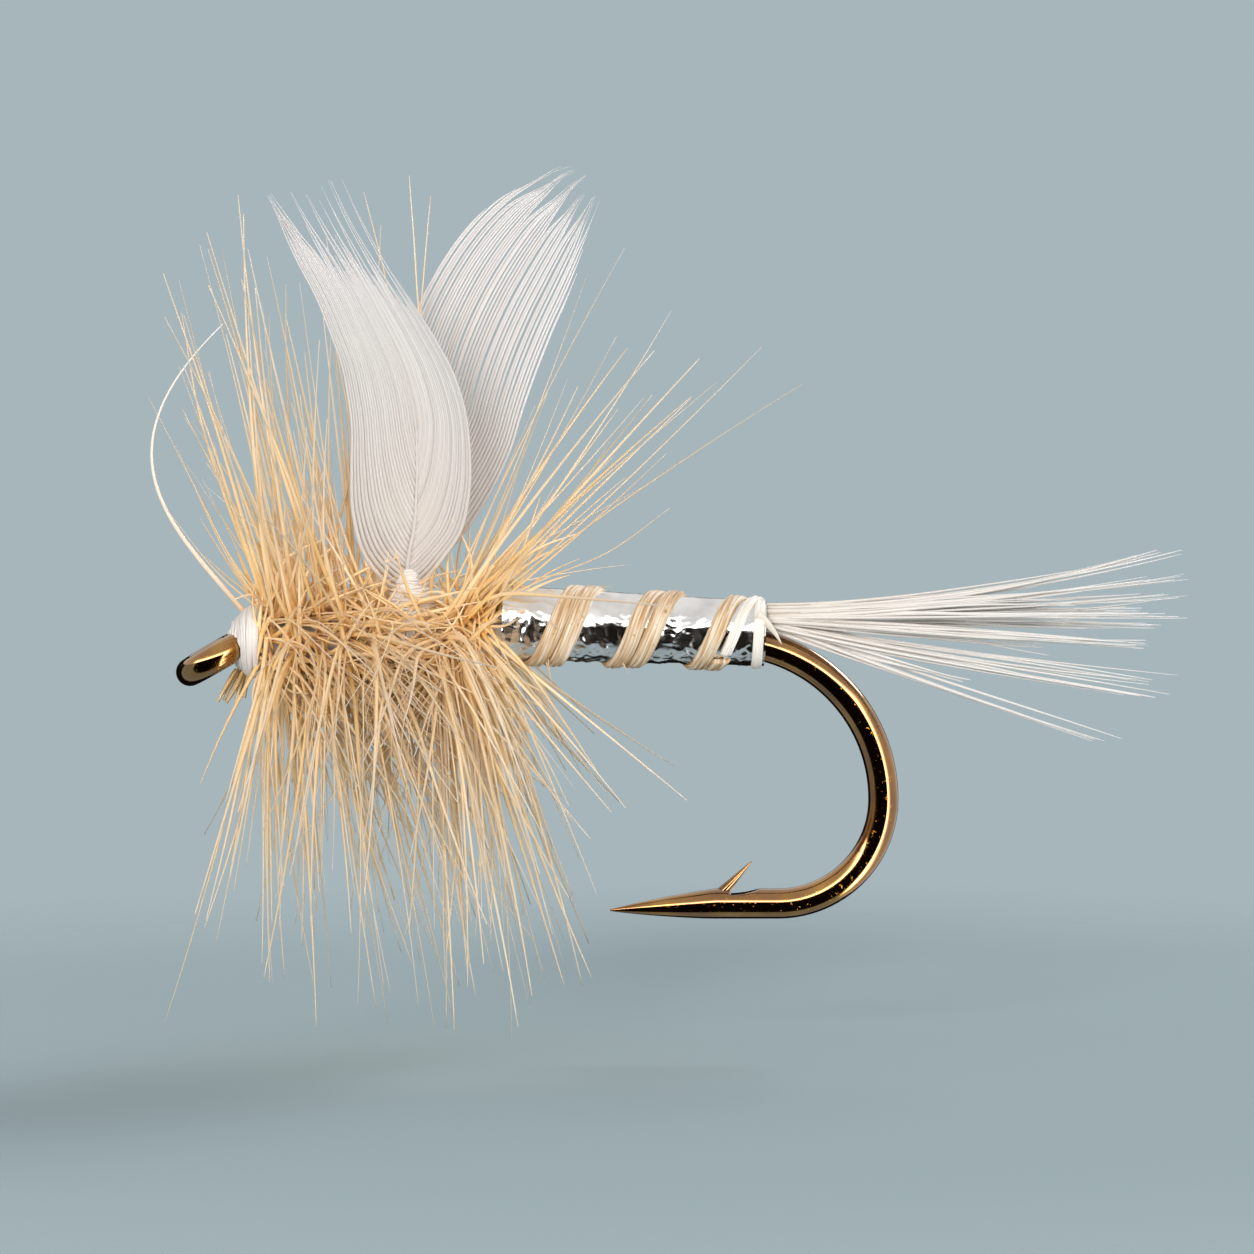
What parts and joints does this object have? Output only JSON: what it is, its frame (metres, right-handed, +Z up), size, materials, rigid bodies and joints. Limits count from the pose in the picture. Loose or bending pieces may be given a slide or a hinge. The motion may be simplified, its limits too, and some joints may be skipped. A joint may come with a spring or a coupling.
{
  "type": "dry fly",
  "caption": "Upright-wing dry fly on a barbed, down-eye hook, with a ribbed silver body, a fibre tail, two white feather wings and a full hackle.",
  "frame": {"origin": "centre of the hook's eye", "axes": "+X along the hook's shank from the eye to the tail, +Z up to the wings, +Y to the side of the far wing"},
  "size_m": [0.0224, 0.0186, 0.0192],
  "materials": {
    "bronzed_wire": "bronzed, polished",
    "white_thread": "waxed",
    "floss": "soft",
    "silver_tinsel": "mirror-bright",
    "raffia": "dry fibre",
    "tail_hackle": "silky",
    "wing_feather": "matt",
    "straw_hackle": "glossy fibre"
  },
  "bodies": {
    "root": {"hook": "bronzed_wire", "shank_thread": "white_thread", "tail_butts": "tail_hackle", "underbody": "floss", "tail_fibres": "tail_hackle", "tinsel": "silver_tinsel", "rib_strand_front": "raffia", "rib_strand_rear": "raffia", "tail_tie": "white_thread", "tie_tag": "white_thread", "wing_bump": "white_thread", "wing_post": "white_thread", "near_wing_quill": "wing_feather", "near_wing_vane": "wing_feather", "far_wing_quill": "wing_feather", "far_wing_vane": "wing_feather", "rear_hackle_stem": "straw_hackle", "rear_hackle_turn_1": "straw_hackle", "rear_hackle_turn_2": "straw_hackle", "rear_hackle_turn_3": "straw_hackle", "rear_hackle_turn_4": "straw_hackle", "front_hackle_stem": "straw_hackle", "front_hackle_turn_1": "straw_hackle", "front_hackle_turn_2": "straw_hackle", "front_hackle_turn_3": "straw_hackle", "front_hackle_turn_4": "straw_hackle", "front_hackle_turn_5": "straw_hackle", "hackle_butts": "straw_hackle", "hackle_curl": "straw_hackle", "thread_head": "white_thread"}
  },
  "joints": []
}
